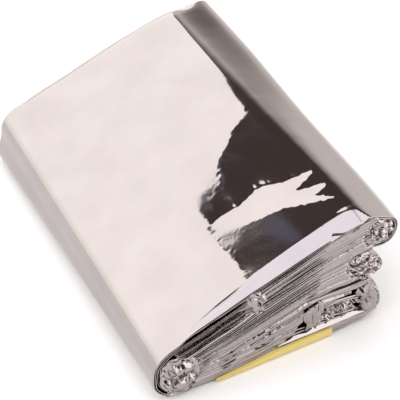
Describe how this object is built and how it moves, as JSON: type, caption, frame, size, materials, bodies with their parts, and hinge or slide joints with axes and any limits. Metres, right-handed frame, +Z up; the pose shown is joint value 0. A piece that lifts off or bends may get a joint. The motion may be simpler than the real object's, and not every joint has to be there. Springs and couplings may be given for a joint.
{
  "type": "folded emergency sleeping bag",
  "caption": "Metallised film sleeping bag folded into a wedge-shaped packet, wrapped on one side and fanned open in bundles on the other, with a plain label under its near edge.",
  "frame": {"origin": "on the surface the packet rests on, at the middle of its box", "axes": "+X from the wrapped side to the fanned side, +Y from the near end to the far end, +Z up"},
  "size_m": [0.0824, 0.1212, 0.044],
  "materials": {
    "film": "bright aluminium-metallised polyester film, creased",
    "label": "matt yellow label stock"
  },
  "bodies": {
    "root": {"folded_bag": "film", "label": "label"}
  },
  "joints": []
}
